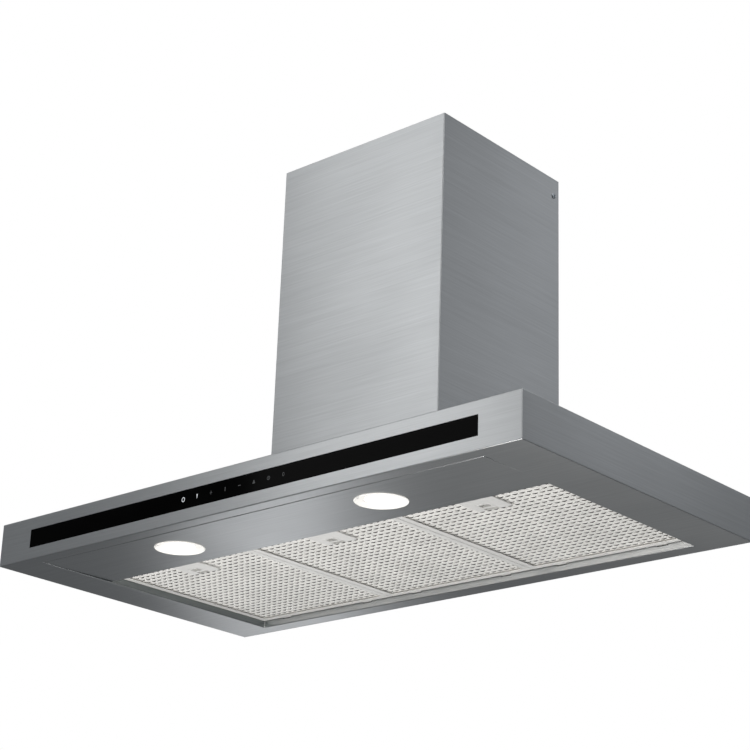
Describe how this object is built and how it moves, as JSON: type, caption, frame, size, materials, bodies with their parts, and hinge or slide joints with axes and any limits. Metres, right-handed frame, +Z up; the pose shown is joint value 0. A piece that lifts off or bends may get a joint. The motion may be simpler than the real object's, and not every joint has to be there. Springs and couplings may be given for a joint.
{
  "type": "chimney range hood",
  "caption": "Wall-mounted chimney range hood: flat brushed canopy with hinged grease filters, recessed lamps, touch strip, blower and telescopic flue cover.",
  "frame": {"origin": "centre of the canopy's rear face, on the wall plane", "axes": "+Y into the wall, so the front of the hood looks along -Y; +X to the right of someone facing the wall; +Z up"},
  "size_m": [0.9, 0.48, 0.6007],
  "materials": {
    "brushed_stainless": "brushed along the sheet",
    "screw_steel": "bright turned steel",
    "galvanised_sheet": "galvanised",
    "filter_aluminium": "satin rolled",
    "expanded_aluminium": "expanded mesh",
    "spring_steel": "drawn wire",
    "black_glass": "black printed back",
    "black_plastic": "moulded",
    "fan_plastic": "moulded",
    "grey_plastic": "moulded",
    "white_plastic": "moulded",
    "motor_casing": "painted pressed steel",
    "cast_aluminium": "die cast",
    "lamp_ring": "satin",
    "lamp_lens": "frosted",
    "circuit_board": "solder resist",
    "lead_sleeve": "grey sheathed lead"
  },
  "bodies": {
    "root": {"back_panel": "galvanised_sheet", "blower_box": "galvanised_sheet", "cable_gland": "black_plastic", "canopy_hanger_left": "galvanised_sheet", "canopy_hanger_right": "galvanised_sheet", "canopy_shell": "brushed_stainless", "chimney_bracket": "galvanised_sheet", "chimney_lower": "brushed_stainless", "chimney_screw_left": "screw_steel", "chimney_screw_right": "screw_steel", "control_board": "circuit_board", "control_box": "white_plastic", "control_box_lid": "white_plastic", "control_carrier": "black_plastic", "control_glass": "black_glass", "driver_lead": "lead_sleeve", "filter_rail_left": "galvanised_sheet", "filter_rail_right": "galvanised_sheet", "lamp_bezel_left": "lamp_ring", "lamp_bezel_right": "lamp_ring", "lamp_body_left": "cast_aluminium", "lamp_body_right": "cast_aluminium", "lamp_lead_left": "lead_sleeve", "lamp_lead_right": "lead_sleeve", "lamp_lens_left": "lamp_lens", "lamp_lens_right": "lamp_lens", "led_driver": "white_plastic", "light_panel": "brushed_stainless", "motor_body": "motor_casing", "motor_bracket": "galvanised_sheet", "motor_capacitor": "white_plastic", "motor_lead": "lead_sleeve", "outlet_collar": "grey_plastic", "power_board": "circuit_board", "scroll_left": "black_plastic", "scroll_right": "black_plastic", "terminal_block": "white_plastic", "touch_lead": "lead_sleeve", "underside_frame": "brushed_stainless"},
    "filter_left": {"filter_frame_left": "filter_aluminium", "filter_mesh_left": "expanded_aluminium", "catch_spring_left": "spring_steel"},
    "catch_left": {"filter_catch_left": "filter_aluminium"},
    "filter_middle": {"filter_frame_middle": "filter_aluminium", "filter_mesh_middle": "expanded_aluminium", "catch_spring_middle": "spring_steel"},
    "catch_middle": {"filter_catch_middle": "filter_aluminium"},
    "filter_right": {"filter_frame_right": "filter_aluminium", "filter_mesh_right": "expanded_aluminium", "catch_spring_right": "spring_steel"},
    "catch_right": {"filter_catch_right": "filter_aluminium"},
    "rotor": {"impeller": "fan_plastic", "motor_shaft": "screw_steel"},
    "flap_front": {"damper_flap_front": "grey_plastic"},
    "flap_rear": {"damper_flap_rear": "grey_plastic"},
    "chimney_inner": {"chimney_upper": "brushed_stainless"}
  },
  "joints": [
    {"name": "filter_swing_left", "type": "hinge", "parent": "root", "child": "filter_left", "pos_m": [-0.25367, -0.0265, -0.0198], "axis": [1, 0, 0], "range_deg": [0, 60]},
    {"name": "catch_slide_left", "type": "slide", "parent": "filter_left", "child": "catch_left", "axis": [0, 1, 0], "range_m": [0, 0.0055], "stiffness_N_per_m": 600, "springref_m": -0.004, "deforming": ["catch_spring_left"]},
    {"name": "filter_swing_middle", "type": "hinge", "parent": "root", "child": "filter_middle", "pos_m": [0, -0.0265, -0.0198], "axis": [1, 0, 0], "range_deg": [0, 60]},
    {"name": "catch_slide_middle", "type": "slide", "parent": "filter_middle", "child": "catch_middle", "axis": [0, 1, 0], "range_m": [0, 0.0055], "stiffness_N_per_m": 600, "springref_m": -0.004, "deforming": ["catch_spring_middle"]},
    {"name": "filter_swing_right", "type": "hinge", "parent": "root", "child": "filter_right", "pos_m": [0.25367, -0.0265, -0.0198], "axis": [1, 0, 0], "range_deg": [0, 60]},
    {"name": "catch_slide_right", "type": "slide", "parent": "filter_right", "child": "catch_right", "axis": [0, 1, 0], "range_m": [0, 0.0055], "stiffness_N_per_m": 600, "springref_m": -0.004, "deforming": ["catch_spring_right"]},
    {"name": "fan_spin", "type": "hinge", "parent": "root", "child": "rotor", "pos_m": [0, -0.1215, 0.14], "axis": [1, 0, 0], "continuous": true},
    {"name": "flap_swing_front", "type": "hinge", "parent": "root", "child": "flap_front", "pos_m": [0, -0.168, 0.2563], "axis": [-1, 0, 0], "range_deg": [0, 75]},
    {"name": "flap_swing_rear", "type": "hinge", "parent": "root", "child": "flap_rear", "pos_m": [0, -0.159, 0.2563], "axis": [1, 0, 0], "range_deg": [0, 75]},
    {"name": "chimney_slide", "type": "slide", "parent": "root", "child": "chimney_inner", "axis": [0, 0, 1], "range_m": [0, 0.4]}
  ]
}
